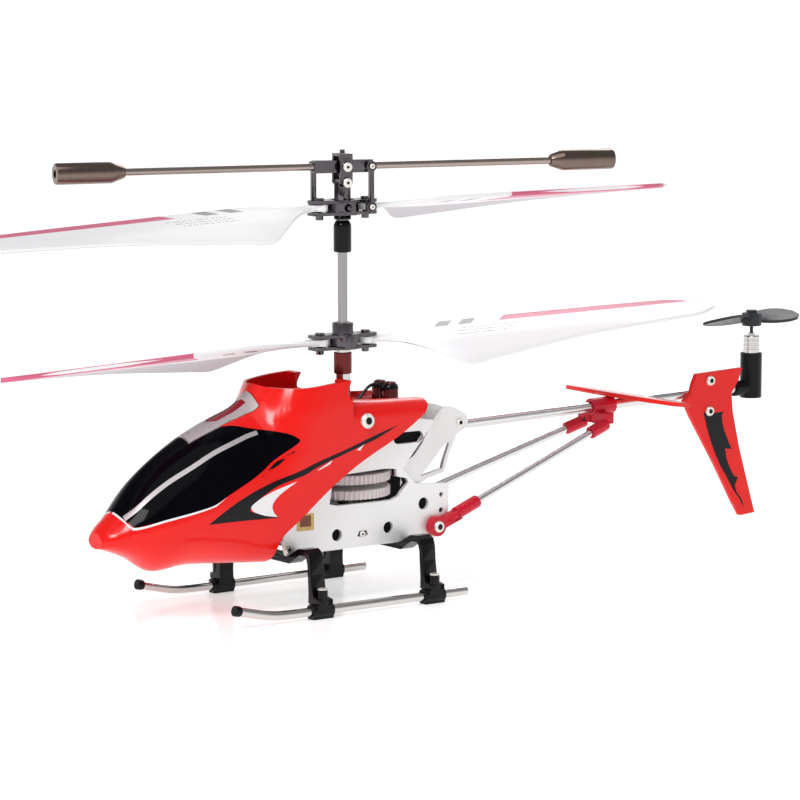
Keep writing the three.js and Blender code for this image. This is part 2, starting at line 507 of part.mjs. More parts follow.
// A blade along +X from the mast, trailing towards -Y when turn is 1 and towards +Y when it is -1.
const chordBehind = along([[7, 1.5], [9, 1.8], [14, 5.2], [20, 11.4], [25, 15.6], [32, 14.4], [60, 9.8], [84, 7.6],
  [90, 6.6], [95, 3.6]]);
const chordAhead = along([[7, 1.5], [9, 1.6], [14, 2.4], [20, 4.3], [25, 5], [40, 5.2], [86, 5.2], [90, 3.4], [95, -1]]);
const pitchAt = along([[7, 0], [10, 4], [20, 18], [27, 22], [60, 17], [95, 11.5]]);
function blade(turn, cone, twist) {
  const form = new THREE.BoxGeometry(1, 1, 1, 15, 3, 1).toNonIndexed();
  const at = form.attributes.position;
  for (let i = 0; i < at.count; i++) {
    const u = at.getX(i) + 0.5;
    const r = BLADE_PIN_R + 1 + (ROTOR_RADIUS - BLADE_PIN_R - 1) * (0.35 * u + 0.65 * u * u * (1.6 - 0.6 * u));
    const ahead = chordAhead(r);
    const behind = Math.max(chordBehind(r), 0.4 - ahead);
    const v = at.getY(i) + 0.5;
    const across = -behind + (ahead + behind) * v;
    const thin = BLADE_THICK * (r < 9 ? 1.5 : 1) * (1 - 0.45 * Math.abs(2 * v - 1) ** 2);
    const pitch = deg(pitchAt(r) * twist);
    const lift = Math.sin(pitch) * across;
    const rise = Math.tan(deg(cone)) * (r - BLADE_PIN_R);
    at.setXYZ(i, r, turn * across * Math.cos(pitch), at.getZ(i) * thin + lift + rise);
  }
  const root = bar(BLADE_ROOT_R, [BLADE_PIN_R, 0, -0.7], [BLADE_PIN_R, 0, 0.7], 16);
  const tab = box([3, 2.8, 1.4], [BLADE_PIN_R + 1.6, 0, 0]);
  return join(solid(form), root, tab)
    .subtract(bar(0.9, [BLADE_PIN_R, 0, -3], [BLADE_PIN_R, 0, 3], 12))
    .translate([-BLADE_PIN_R, 0, 0]);
}

// Hangs a blade on a grip's pin so that its tip comes out at the given azimuth from the mast.
function hangBlade(name, gripAzimuth, z, azimuth, shape) {
  const pin = new THREE.Vector2(BLADE_PIN_R, 0).rotateAround(new THREE.Vector2(), deg(gripAzimuth));
  const tip = new THREE.Vector2(ROTOR_RADIUS, 0).rotateAround(new THREE.Vector2(), deg(azimuth));
  const hung = new THREE.Group();
  hung.position.set(pin.x, pin.y, z);
  hung.rotation.z = tip.sub(pin).angle();
  mast.add(hung);
  node(hung, name, shape, whitePlastic);
}

// ---------------------------------------------------------------- lower rotor
node(mast, "outer_shaft", tube(OUTER_SHAFT_OUT, OUTER_SHAFT_IN, 25.9, 62, 20), steel);
node(mast, "upper_main_gear", bigGear(UPPER_GEAR_Z, OUTER_SHAFT_OUT + 0.1, 1), gearPlastic);
node(mast, "lower_shaft_collar", turned([[1.75, 50.4], [2.05, 50.6], [2.05, 55], [1.75, 55.2], [1.75, 50.4]]),
  blackPlastic);
{
  const lowerGrip = group(mast, LOWER_GRIP_Z, LOWER_GRIP_AZIMUTH);
  const sleeve = tube(2.4, 1.75, 1.5, 4.2, 20);
  node(lowerGrip, "lower_blade_grip", join(grip(3.4, 1.75), sleeve), greyPlastic);
  LOWER_AZIMUTH.forEach((azimuth, i) =>
    hangBlade("lower_blade_" + (i + 1), LOWER_GRIP_AZIMUTH + 180 * i, LOWER_GRIP_Z, azimuth,
      blade(1, LOWER_CONE[i], 1)),
  );
}

// ---------------------------------------------------------------- upper rotor
node(mast, "inner_shaft", bar(INNER_SHAFT_R, [0, 0, 18.4], [0, 0, 84], 18), steel);
node(mast, "lower_main_gear", bigGear(LOWER_GEAR_Z, INNER_SHAFT_R + 0.1, -1), gearPlastic);
node(mast, "upper_shaft_collar", turned([[1.2, 77.6], [2, 77.6], [2, 83.8], [1.5, 84.7], [0, 84.7], [0, 84.1],
  [1.2, 84.1], [1.2, 77.6]]), blackGloss);
{
  // The hub stands on the collar; its pins lie across the flybar.
  const hub = group(mast, 0, FLYBAR_AZIMUTH);
  const post = join(box([3, 2.4, 8.8], [0, 0, 89.3]), bar(1.9, [0, 0, 84.85], [0, 0, 85.2], 16));
  const teeterPin = bar(0.55, [0, -4.5, UPPER_GRIP_Z], [0, 4.5, UPPER_GRIP_Z], 12);
  const cheeks = [1, -1].map((s) => box([3, 0.8, 6.3], [0, s * 2.2, 96.1]));
  const seat = box([3, 5.2, 1], [0, 0, 93.4]);
  const bridge = box([3, 5.2, 0.6], [0, 0, 99.25]);
  const nub = bar(0.6, [0, 0, 99.4], [0, 0, 100.4], 10);
  const stubs = [1, -1].map((s) => bar(0.5, [0, s * 1.2, FLYBAR_Z], [0, s * 3, FLYBAR_Z], 12));
  const heads = [93.2, FLYBAR_Z].map((z) => bar(1.1, [0, -2.5, z], [0, -3.3, z], 10));
  node(hub, "rotor_hub", join(post, teeterPin, ...cheeks, seat, bridge, nub, ...stubs, ...heads), blackPlastic);

  // Upper grip, hung on the teeter pin, with a horn for each link.
  const upperGrip = group(mast, UPPER_GRIP_Z, FLYBAR_AZIMUTH);
  const turnedGrip = grip(3.7, 2.7).rotate([0, 0, UPPER_GRIP_AZIMUTH - FLYBAR_AZIMUTH]);
  const horns = [1, -1].map((s) =>
    join(
      box([1.8, 0.8, 2.2], [s * LINK_ALONG, -s * 1.4, 0]),
      bar(0.5, [s * LINK_ALONG, -s * 1.3, 0], [s * LINK_ALONG, -s * 3.3, 0], 10),
    ),
  );
  const gripSolid = join(turnedGrip, ...horns).subtract(bar(0.85, [0, -6, 0], [0, 6, 0], 12));
  node(upperGrip, "upper_blade_grip", gripSolid, greyPlastic);
  UPPER_AZIMUTH.forEach((azimuth, i) =>
    hangBlade("upper_blade_" + (i + 1), UPPER_GRIP_AZIMUTH + 180 * i, UPPER_GRIP_Z, azimuth,
      blade(-1, UPPER_CONE[i], UPPER_TWIST)),
  );

  // Flybar: a seesaw block on the hub's two stub pins, the rod through it, a weight at each end.
  const flybar = group(mast, FLYBAR_Z, FLYBAR_AZIMUTH);
  const arms = [1, -1].map((s) => bar(0.5, [s * LINK_ALONG, 0, 0], [s * LINK_ALONG, -s * 3.3, 0], 10));
  const block = join(
    planSlab([[-7, -1], [-5.5, -1.35], [5.5, -1.35], [7, -1], [7, 1], [5.5, 1.35], [-5.5, 1.35], [-7, 1]], -1.4, 1.4),
    ...arms,
  )
    .subtract(bar(FLYBAR_ROD_R + 0.15, [-9, 0, 0], [9, 0, 0], 12))
    .subtract(bar(0.8, [0, -2, 0], [0, -1, 0], 12))
    .subtract(bar(0.8, [0, 2, 0], [0, 1, 0], 12));
  node(flybar, "flybar_seesaw", block, blackPlastic);
  node(flybar, "flybar_rod", bar(FLYBAR_ROD_R, [-65.6, 0, 0], [65.6, 0, 0], 10), steel);
  [1, -1].forEach((s, i) => {
    const weight = join(bar(2.35, [s * 53.4, 0, 0], [s * FLYBAR_HALF, 0, 0], 16),
      bar(1.3, [s * 50.8, 0, 0], [s * 53.5, 0, 0], 16, 2.35));
    node(flybar, "flybar_weight_" + (i + 1), weight.subtract(bar(FLYBAR_ROD_R + 0.12, [s * 48, 0, 0], [s * 68, 0, 0],
      12)), bronze);
  });
  [1, -1].forEach((s, i) => {
    const z = [0, UPPER_GRIP_Z - FLYBAR_Z];
    const at = (y, h) => [s * LINK_ALONG, -s * y, h];
    const near = LINK_ACROSS - 0.45;
    const far = LINK_ACROSS + 0.45;
    const link = join(box([1.1, 0.9, -z[1]], at(LINK_ACROSS, z[1] / 2)), ...z.map((h) => bar(1.25, at(near, h),
      at(far, h), 12))).subtract(join(...z.map((h) => bar(0.8, at(0, h), at(4, h), 12))));
    node(flybar, "flybar_link_" + (i + 1), link, blackPlastic);
  });
}

// ---------------------------------------------------------------- tail propeller
{
  const tail = group(mast, PROP_Z, PROP_AZIMUTH);
  tail.position.y = TAIL_Y;
  const chord = along([[1, 1.4], [5, 2.4], [10, 3], [14, 2.6], [PROP_RADIUS, 1.2]]);
  const vane = (s) => {
    const form = new THREE.BoxGeometry(1, 1, 1, 7, 2, 1).toNonIndexed();
    const at = form.attributes.position;
    for (let i = 0; i < at.count; i++) {
      const r = 1 + (PROP_RADIUS - 1) * (at.getX(i) + 0.5);
      const pitch = deg(34 - 1.1 * r);
      const across = 2 * chord(r) * at.getY(i);
      at.setXYZ(i, s * r, s * across * Math.cos(pitch), 0.7 * at.getZ(i) + across * Math.sin(pitch));
    }
    return solid(form);
  };
  const hub = bar(2.4, [0, 0, -1.8], [0, 0, 1.3], 14).add(bar(1.4, [0, 0, 1.2], [0, 0, 2], 12));
  const pin = bar(0.45, [0, 0, -6.4], [0, 0, -1], 10);
  node(tail, "tail_propeller", join(hub, vane(1), vane(-1), pin), greyPlastic);
}

export default helicopter;
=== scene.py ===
"""Looks of a palm-size coaxial helicopter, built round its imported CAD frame.

Helpers take millimetres measured from the foot of the rotor mast: nose towards -Y, port side +X, +Z up.
Objects are made in metres in the frame's own axes.
"""

import json
import math

import bmesh
import bpy
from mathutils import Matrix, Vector

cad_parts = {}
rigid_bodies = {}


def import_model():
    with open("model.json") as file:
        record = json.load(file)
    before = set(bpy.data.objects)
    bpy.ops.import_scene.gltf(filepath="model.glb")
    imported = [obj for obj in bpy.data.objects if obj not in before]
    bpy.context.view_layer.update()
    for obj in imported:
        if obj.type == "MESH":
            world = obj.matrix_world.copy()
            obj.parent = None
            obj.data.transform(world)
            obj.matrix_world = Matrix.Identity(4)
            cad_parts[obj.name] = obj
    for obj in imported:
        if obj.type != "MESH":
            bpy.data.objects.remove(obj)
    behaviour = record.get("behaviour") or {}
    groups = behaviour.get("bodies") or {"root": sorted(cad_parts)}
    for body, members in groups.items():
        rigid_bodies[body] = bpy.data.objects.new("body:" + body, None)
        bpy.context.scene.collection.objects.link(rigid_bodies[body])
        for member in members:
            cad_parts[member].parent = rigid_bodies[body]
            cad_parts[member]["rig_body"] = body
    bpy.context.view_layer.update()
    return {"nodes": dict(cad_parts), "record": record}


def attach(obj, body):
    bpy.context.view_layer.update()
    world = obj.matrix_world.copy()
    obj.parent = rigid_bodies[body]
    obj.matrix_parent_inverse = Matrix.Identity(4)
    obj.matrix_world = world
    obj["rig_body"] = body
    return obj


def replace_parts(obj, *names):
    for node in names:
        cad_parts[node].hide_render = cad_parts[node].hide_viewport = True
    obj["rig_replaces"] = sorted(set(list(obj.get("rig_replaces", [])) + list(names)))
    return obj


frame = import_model()

MM = 0.001
MAST = Vector((-0.06, -21.64, 0.0))  # foot of the mast in the frame, mm
scene = bpy.context.scene
SKID_X = 19.5  # skid tubes, either side of the mast
TAIL_Y = 122.3  # tail motor axis
FLYBAR_Z, FLYBAR_AZIMUTH = 96.7, 76.3

# ---------------------------------------------------------------- camera
camera = bpy.data.objects.new("camera", bpy.data.cameras.new("camera"))
scene.collection.objects.link(camera)
camera.data.sensor_width = 36
camera.data.lens = 161.08
camera.data.clip_start, camera.data.clip_end = 0.01, 60
camera.location = (0.647094, -0.482510, 0.150213)
aim = Vector((0.008662, -0.012156, 0.044522))
camera.rotation_euler = (aim - camera.location).to_track_quat("-Z", "Y").to_euler()
scene.camera = camera
scene.view_settings.view_transform = "Standard"


# ---------------------------------------------------------------- materials
def surface(name, colour, rough, metal=0.0, mottle=0.05, spread=0.04, grain=900.0, bump=0.0, bump_grain=2500.0,
            coat=0.0, specular=0.5, soften=0.0, subsurface=0.0):
    """A procedural finish: its colour and roughness wander a little, with a fine relief."""
    mat = bpy.data.materials.new(name)
    mat.use_nodes = True
    nodes, links = mat.node_tree.nodes, mat.node_tree.links
    shader = nodes["Principled BSDF"]
    shader.inputs["Metallic"].default_value = metal
    shader.inputs["Coat Weight"].default_value = coat
    shader.inputs["Coat Roughness"].default_value = 0.04
    shader.inputs["Specular IOR Level"].default_value = specular
    shader.inputs["Subsurface Weight"].default_value = subsurface
    shader.inputs["Subsurface Scale"].default_value = 0.001
    place = nodes.new("ShaderNodeTexCoord")
    clouds = nodes.new("ShaderNodeTexNoise")
    clouds.inputs["Scale"].default_value = grain
    clouds.inputs["Detail"].default_value = 4
    links.new(place.outputs["Object"], clouds.inputs["Vector"])
    tint = nodes.new("ShaderNodeMix")
    tint.data_type = "RGBA"
    tint.inputs["A"].default_value = (*[c * (1 - mottle) for c in colour], 1)
    tint.inputs["B"].default_value = (*[min(c * (1 + mottle), 1) for c in colour], 1)
    links.new(clouds.outputs["Fac"], tint.inputs["Factor"])
    links.new(tint.outputs["Result"], shader.inputs["Base Color"])
    wear = nodes.new("ShaderNodeMapRange")
    wear.inputs["From Min"].default_value = 0.3
    wear.inputs["From Max"].default_value = 0.7
    wear.inputs["To Min"].default_value = max(rough - spread, 0.02)
    wear.inputs["To Max"].default_value = rough + spread
    links.new(clouds.outputs["Fac"], wear.inputs["Value"])
    links.new(wear.outputs["Result"], shader.inputs["Roughness"])
    normal = None
    if soften:
        edge = nodes.new("ShaderNodeBevel")
        edge.samples = 4
        edge.inputs["Radius"].default_value = soften * MM
        normal = edge.outputs["Normal"]
    if bump:
        fine = nodes.new("ShaderNodeTexNoise")
        fine.inputs["Scale"].default_value = bump_grain
        links.new(place.outputs["Object"], fine.inputs["Vector"])
        relief = nodes.new("ShaderNodeBump")
        relief.inputs["Strength"].default_value = bump
        relief.inputs["Distance"].default_value = 0.0001
        links.new(fine.outputs["Fac"], relief.inputs["Height"])
        if normal:
            links.new(normal, relief.inputs["Normal"])
        normal = relief.outputs["Normal"]
    if normal:
        links.new(normal, shader.inputs["Normal"])
    return mat


def painted(mat, colour, masks):
    """Paints a colour over the finish wherever all of the masks are 1."""
    nodes, links = mat.node_tree.nodes, mat.node_tree.links
    shader = nodes["Principled BSDF"]
    under = shader.inputs["Base Color"].links[0].from_socket
    both = masks[0]
    for mask in masks[1:]:
        times = nodes.new("ShaderNodeMath")
        times.operation = "MULTIPLY"
        links.new(both, times.inputs[0])
        links.new(mask, times.inputs[1])
        both = times.outputs[0]
    over = nodes.new("ShaderNodeMix")
    over.data_type = "RGBA"
    over.inputs["B"].default_value = (*colour, 1)
    links.new(both, over.inputs["Factor"])
    links.new(under, over.inputs["A"])
    links.new(over.outputs["Result"], shader.inputs["Base Color"])


FINISH = {
    "red_gloss": surface("red_gloss", (0.86, 0.010, 0.007), 0.15, mottle=0.02, soften=0.25, specular=0.3),
    "red_plastic": surface("red_plastic", (0.62, 0.009, 0.030), 0.28, bump=0.1, specular=0.3),
    "window_black": surface("window_black", (0.0015, 0.0015, 0.003), 0.07, spread=0.02, specular=0.05, mottle=0.3),
    "silver_trim": surface("silver_trim", (0.50, 0.46, 0.47), 0.3, metal=0.3),
    "frame_alloy": surface("frame_alloy", (0.90, 0.895, 0.89), 0.38, metal=0.35, mottle=0.02, bump=0.06),
    "boom_alloy": surface("boom_alloy", (0.72, 0.72, 0.71), 0.24, metal=1.0),
    "steel": surface("steel", (0.62, 0.60, 0.58), 0.14, metal=1.0),
    "black_gloss": surface("black_gloss", (0.003, 0.003, 0.004), 0.16, mottle=0.2, specular=0.22),
    "black_plastic": surface("black_plastic", (0.003, 0.003, 0.004), 0.30, mottle=0.2, bump=0.12, specular=0.2),
    "gear_plastic": surface("gear_plastic", (0.74, 0.69, 0.69), 0.32, mottle=0.06, subsurface=0.3),
    "weight_bronze": surface("weight_bronze", (0.20, 0.145, 0.120), 0.20, metal=1.0, mottle=0.12),
    "motor_can": surface("motor_can", (0.14, 0.018, 0.016), 0.14, metal=0.7, mottle=0.15),
    "board": surface("board", (0.02, 0.12, 0.045), 0.4, mottle=0.4, grain=1500, bump=0.3),
    "battery_foil": surface("battery_foil", (0.12, 0.22, 0.42), 0.35, metal=0.4, bump=0.4, bump_grain=700),
    "prop_grey": surface("prop_grey", (0.022, 0.025, 0.030), 0.34, mottle=0.15, bump=0.1, specular=0.3),
}
SLOT = {part["node"]: part["material_slot"] for part in frame["record"]["subparts"]}


# ---------------------------------------------------------------- making and joining pieces
def placed(point):
    """A point given in mm from the foot of the mast, in the frame's metres."""
    return (Vector(point) + MAST) * MM


def body_of(node):
    return frame["nodes"][node]["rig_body"]


def made(name, points, faces):
    mesh = bpy.data.meshes.new(name)
    mesh.from_pydata([placed(p) for p in points], [], faces)
    shape = bpy.data.objects.new(name, mesh)
    scene.collection.objects.link(shape)
    tools = bmesh.new()
    tools.from_mesh(mesh)
    bmesh.ops.recalc_face_normals(tools, faces=tools.faces)
    tools.to_mesh(mesh)
    tools.free()
    return shape


def skin(name, rings, capped=True):
    """A closed skin through rings that hold equal numbers of points."""
    count = len(rings[0])
    points = [p for ring in rings for p in ring]
    faces = [
        (i * count + j, i * count + (j + 1) % count, (i + 1) * count + (j + 1) % count, (i + 1) * count + j)
        for i in range(len(rings) - 1)
        for j in range(count)
    ]
    if capped:
        faces += [tuple(range(count)), tuple(range(len(points) - count, len(points)))]
    return made(name, points, faces)


def prism(name, outline, start, end, across="x"):
    """An outline carried along an axis: (y, z) pairs along x, or (x, y) pairs along z."""
    order = (lambda a, b, c: (c, a, b)) if across == "x" else (lambda a, b, c: (a, b, c))
    return skin(name, [[order(a, b, c) for a, b in outline] for c in (start, end)])


def settled(shape):
    """Takes the shape's modifiers into its mesh."""
    bpy.context.view_layer.update()
    graph = bpy.context.evaluated_depsgraph_get()
    mesh = bpy.data.meshes.new_from_object(shape.evaluated_get(graph))
    shape.modifiers.clear()
    shape.data = mesh
    return shape


def cut(shape, tool, how="DIFFERENCE"):
    step = shape.modifiers.new("cut", "BOOLEAN")
    step.operation, step.object, step.solver = how, tool, "EXACT"
    settled(shape)
    bpy.data.objects.remove(tool)
    return shape


def smooth(shape, angle=35.0):
    shape.data.polygons.foreach_set("use_smooth", [True] * len(shape.data.polygons))
    shape.data.set_sharp_from_angle(angle=math.radians(angle))
    return shape


def dressed(shape, mat, body, *nodes, slot=None):
    shape.data.materials.clear()
    shape.data.materials.append(mat)
    if nodes:
        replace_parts(shape, *nodes)
    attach(shape, body)
    return shape


def curve(points, steps=6, closed=False):
    """A smooth line through 2-D or 3-D points."""
    n = len(points)
    pick = (lambda i: points[i % n]) if closed else (lambda i: points[min(max(i, 0), n - 1)])
    line = []
    for i in range(n if closed else n - 1):
        a, b, c, d = pick(i - 1), pick(i), pick(i + 1), pick(i + 2)
        for k in range(steps):
            t = k / steps
            line.append(
                tuple(
                    0.5 * (2 * q + (r - p) * t + (2 * p - 5 * q + 4 * r - s) * t * t + (3 * q - p - 3 * r + s) * t ** 3)
                    for p, q, r, s in zip(a, b, c, d)
                )
            )
    return line if closed else line + [tuple(points[-1])]


def along(stations):
    """A smooth value through (position, value) stations."""
    last = len(stations) - 1

    def slope(i):
        a, b = stations[max(i - 1, 0)], stations[min(i + 1, last)]
        return (b[1] - a[1]) / (b[0] - a[0])

    def value(y):
        if y <= stations[0][0]:
            return stations[0][1]
        if y >= stations[last][0]:
            return stations[last][1]
        i = next(k for k, s in enumerate(stations) if s[0] > y) - 1
        (y0, v0), (y1, v1) = stations[i], stations[i + 1]
        h = y1 - y0
        t = (y - y0) / h
        return (
            (2 * t ** 3 - 3 * t ** 2 + 1) * v0
            + (t ** 3 - 2 * t ** 2 + t) * h * slope(i)
            + (3 * t ** 2 - 2 * t ** 3) * v1
            + (t ** 3 - t ** 2) * h * slope(i + 1)
        )

    return value


def fine(node, width=0.12, angle=28.0, mat=None):
    """A CAD node's shape again with its edges eased, standing for that node."""
    mesh = frame["nodes"][node].data.copy()
    tools = bmesh.new()
    tools.from_mesh(mesh)
    bmesh.ops.remove_doubles(tools, verts=tools.verts, dist=3e-6)
    tools.to_mesh(mesh)
    tools.free()
    piece = bpy.data.objects.new(node + "_eased", mesh)
    scene.collection.objects.link(piece)
    smooth(piece, angle)
    if width:
        ease = piece.modifiers.new("ease", "BEVEL")
        ease.width = width * MM
        ease.segments = 2
        ease.limit_method = "ANGLE"
        ease.angle_limit = math.radians(angle)
        ease.use_clamp_overlap = False
        ease.harden_normals = True
    return dressed(piece, mat or FINISH[SLOT[node]], body_of(node), node, slot=SLOT[node])


# ---------------------------------------------------------------- canopy
NOSE, REAR = -65.2, 18.0
canopy_top = along([(-66, 19.9), (-64, 22.2), (-61, 24.9), (-56, 31), (-50.5, 35.5), (-44, 39.3), (-38, 41.9),
                    (-33, 43.8), (-29.5, 45.3), (-27, 47.3), (-25, 49.4), (-23, 51.9), (-19, 55.5), (-13, 58),
                    (4, 57), (18, 52)])
canopy_bottom = along([(-66, 17.4), (-64, 17), (-58, 14.6), (-52, 11.1), (-44, 11.7), (-34, 11.2), (18, 9.6)])
canopy_half = along([(-66, 1.5), (-64, 4.2), (-61, 6.1), (-55, 9.7), (-45, 12.4), (-35, 13.3), (-25, 13.6),
                     (-10, 13.1), (5, 11.9), (18, 10.6)])
canopy_waist = along([(-66, 18.8), (-61, 20), (-50, 22.5), (-35, 25.5), (-20, 27.5), (18, 29)])
power_up = along([(-66, 1.6), (-50, 1.5), (-40, 1.74), (-34, 1.85), (-30, 1.7), (-27, 1.5), (-24, 1.7),
                  (-21, 2.3), (-15, 3.6), (-8, 4.2), (4, 4.2), (18, 5.5)])
power_down = along([(-66, 2), (-50, 1.7), (-40, 2.04), (-34, 2.4), (-30, 3), (-24, 3.7), (18, 4)])
deck_top = along([(-20, 43.6), (-6, 45.6), (6, 45.2), (18, 44.8)])


def ridge(y, z, line, height, width):
    """Height of a moulded ridge that follows a (y, z) line along the canopy's side."""
    near = 1e9
    for (y0, z0), (y1, z1) in zip(line, line[1:]):
        dy, dz = y1 - y0, z1 - z0
        t = min(max(((y - y0) * dy + (z - z0) * dz) / (dy * dy + dz * dz), 0), 1)
        near = min(near, math.hypot(y - y0 - t * dy, z - z0 - t * dz))
    fade = min(max((y - line[0][0] + 1) / 4, 0), 1) * min(max((line[-1][0] + 1 - y) / 4, 0), 1)
    return height * fade * math.exp(-((near / width) ** 2))


CREASE = [(-31, 31.0), (-23, 34.2), (-15.6, 36.5), (-9.4, 37.7), (-4, 38.6)]
SHOULDER = [(-26, 43.2), (-19.7, 44.1), (-12, 44.4), (-6.5, 44.6)]


def form(name, inset, top=canopy_top, stations=96, around=120, ridges=True, wider=0.0, square=0.0):
    """The canopy's moulded form as a solid, drawn in by inset on every face."""
    rings = []
    for i in range(stations + 1):
        y = NOSE + inset + (REAR - NOSE - inset) * (i / stations) ** 1.2
        waist = canopy_waist(y)
        up, down = max(top(y) - waist - inset, 0.4), max(waist - canopy_bottom(y) - inset, 0.4)
        ring = []
        for j in range(around):
            c, s = math.cos(math.tau * j / around), math.sin(math.tau * j / around)
            n = max(power_up(y), square) if s > 0 else power_down(y)
            k = 1 / (abs(c) ** n + abs(s) ** n) ** (1 / n)
            x, z = (canopy_half(y) + wider - inset) * c * k, waist + (up if s > 0 else down) * s * k
            if ridges and y > -34 and 30 < z < 46:
                x += math.copysign(ridge(y, z, CREASE, 0.22, 0.5) + ridge(y, z, SHOULDER, 0.3, 0.8), x)
            ring.append((x, y, z))
        rings.append(ring)
    return skin(name, rings)


RIM = [(-32, 60), (-28, 54)] + curve([(-25.4, 50.9), (-24, 49.7), (-22, 49.4), (-17, 49.5), (-11, 50.1), (-6, 50.4)],
                                     5) + curve([(-6, 50.4), (-7.2, 47.8), (-6.4, 45.8)], 4) + [
    (-6.2, 46.8), (16.2, 46.8), (16.4, 43.2)]
EDGE = curve([(15, 41.4), (7.8, 37.3), (-4.2, 32), (-12.8, 27), (-20.8, 21.1), (-25, 17.9), (-26.2, 14.9)], 5) + [
    (-26.2, 8)]
WALL = 0.9
WINDOW_LOW = curve([(-59.3, 22.1), (-53.6, 23.6), (-46.7, 25.1), (-42.6, 26.2), (-38.9, 28.1), (-30.9, 32.0),
                    (-21.8, 37.3), (-20.5, 38.6)], 5)
WINDOW_HIGH = curve([(-20.5, 38.6), (-23, 40.0), (-29.2, 41.1), (-33.6, 41.9), (-37.8, 41.1), (-41.8, 39.6)], 5)
WINDOW = [(-61.6, 30), (-61.0, 25.0), (-60.5, 23.8)] + WINDOW_LOW + WINDOW_HIGH[1:] + [(-44, 42), (-61.6, 42)]


def vent(name, grow, start, end, points=None):
    """A prism of the top vent's outline, in plan."""
    half = points or [(3.2, -43.1), (3.9, -36), (4.0, -28.6), (4.7, -25.8)]
    plan = half + [(-x, y) for x, y in reversed(half)]
    plan = [(x * (1 + grow / 4), -34.4 + (y + 34.4) * (1 + grow / 8.6)) for x, y in plan]
    return prism(name, plan, start, end, "z")


def above_deck(start, inset):
    """What stands above the deck behind the scoop, from the given station to the tail."""
    step = prism("step", [(start, 36), (start, 66), (26, 66), (26, 36)], -18, 18)
    return cut(step, form("deck", inset, deck_top, wider=0.5, square=6.0))


CRIMSON = surface("crimson", (0.30, 0.006, 0.020), 0.2, mottle=0.05, specular=0.3)


def canopy():
    outer = form("canopy_skin", 0)
    cut(outer, prism("side", [(-70, 5), (-70, 60)] + RIM + EDGE, -25, 25), "INTERSECT")
    cut(outer, above_deck(-6.1, 0))
    hollow = form("hollow", WALL, ridges=False)
    cut(hollow, above_deck(-7.6, WALL))
    cut(outer, hollow)
    cut(outer, prism("slot", [(-7.6, -9), (7.6, -9), (7.6, 40), (-7.6, 40)], 40.5, 70, "z"))
    rebate = prism("rebate", WINDOW, -25, 25)
    cut(rebate, form("inside", 0.5, ridges=False))
    cut(outer, rebate)
    cut(outer, vent("vent", 0.12, 32, 60))
    dressed(smooth(outer, 32), FINISH["red_gloss"], "airframe", "canopy_shell", slot="red_gloss")

    glass = form("windshield_glass", 0.03)
    cut(glass, prism("window", WINDOW, -25, 25), "INTERSECT")
    cut(glass, form("inside", 0.46, ridges=False))
    cut(glass, vent("vent", 0.25, 32, 60))
    dressed(smooth(glass, 32), FINISH["window_black"], "airframe", "windshield", slot="window_black")

    # The vent is a bright frame round a red middle.
    middle = [(0.3, -36.6), (1.9, -35.2), (1.8, -29.4), (1.9, -27.3)]
    frame_part = form("top_vent_frame", 0.02)
    cut(frame_part, vent("vent", -0.1, 32, 60), "INTERSECT")
    cut(frame_part, form("inside", 0.8, ridges=False))
    cut(frame_part, vent("middle", 0.0, 32, 60, middle))
    dressed(smooth(frame_part, 32), FINISH["silver_trim"], "airframe", "top_vent", slot="silver_trim")
    panel = form("top_vent_panel", 0.3)
    cut(panel, vent("middle", -0.05, 32, 60, middle), "INTERSECT")
    cut(panel, form("inside", 0.75, ridges=False))
    dressed(smooth(panel, 32), CRIMSON, "airframe")


def print_and_painted_light_patch(name, outline, finish, side=1, proud=0.03, deep=0.25, slot=None):
    """A thin skin on the canopy inside an outline seen from the side: print, and also painted highlights and shade."""
    shape = form(name, -proud, stations=70, around=96)
    cut(shape, prism("outline", outline, *((0.5, 20) if side > 0 else (-20, -0.5))), "INTERSECT")
    cut(shape, form("inside", deep, stations=70, around=96))
    return dressed(smooth(shape, 32), finish, "airframe", slot=slot)


canopy()

PILLAR_LINE = [(-60.3, 23.9), (-58.2, 25.6), (-55.0, 28.3), (-50.9, 31.0), (-45.8, 33.7), (-39.7, 36.8),
               (-32.6, 39.4), (-28.5, 40.3)]
PILLAR = curve([(y, z + 0.42) for y, z in PILLAR_LINE], 5) + curve([(y, z - 0.42) for y, z in PILLAR_LINE[::-1]], 5)
BORDER = (curve([(-60.95, 25.1), (-60.5, 23.8), (-59.3, 22.15), (-53.6, 23.65), (-46.7, 25.15), (-42.6, 26.2),
                 (-39.6, 27.7)], 5)
          + curve([(-42.4, 25.9), (-46.7, 24.75), (-53.7, 23.2), (-59.0, 21.7), (-60.0, 22.2), (-61.0, 23.9),
                   (-61.3, 25.1)], 5))
SWOOSH = (curve([(-44.2, 22.1), (-40, 24.9), (-35.3, 27.3), (-30.1, 29.3), (-21.7, 31.6), (-15.7, 33.5), (-7.3, 35.7),
                 (-0.6, 37.6), (6.9, 39.5)], 4)
          + curve([(6.9, 39.5), (0.8, 37.1), (-4.3, 35.7), (-9.4, 34.3), (-16.4, 32.2), (-19.8, 30.8), (-26.2, 29.2),
                   (-30.7, 27.2), (-33.9, 24.9), (-32.9, 23.7), (-26.5, 22.1)], 4)
          + curve([(-26.5, 22.1), (-33.5, 22.2), (-39.1, 22.2), (-44.2, 22.1)], 4)[:-1])
FLAME = (curve([(-33.9, 25.0), (-32.9, 25.9), (-29.0, 27.7), (-21.8, 29.6)], 4)
         + curve([(-21.8, 29.6), (-26.5, 27.1), (-28.4, 25.1), (-28.1, 23.4), (-27.1, 22.3)], 4)
         + curve([(-27.1, 22.3), (-30.4, 22.9), (-33.2, 24.0), (-33.9, 25.0)], 4)[:-1])
# The glints are painted highlights: white patches along the swoosh's lower edge.
GLINTS = [[(-16.4, 31.5), (-12.2, 33.4), (-12.9, 32.6), (-15.7, 31.6)], [(-5.4, 35.0), (-3.2, 36.1), (-4.4, 34.8)]]
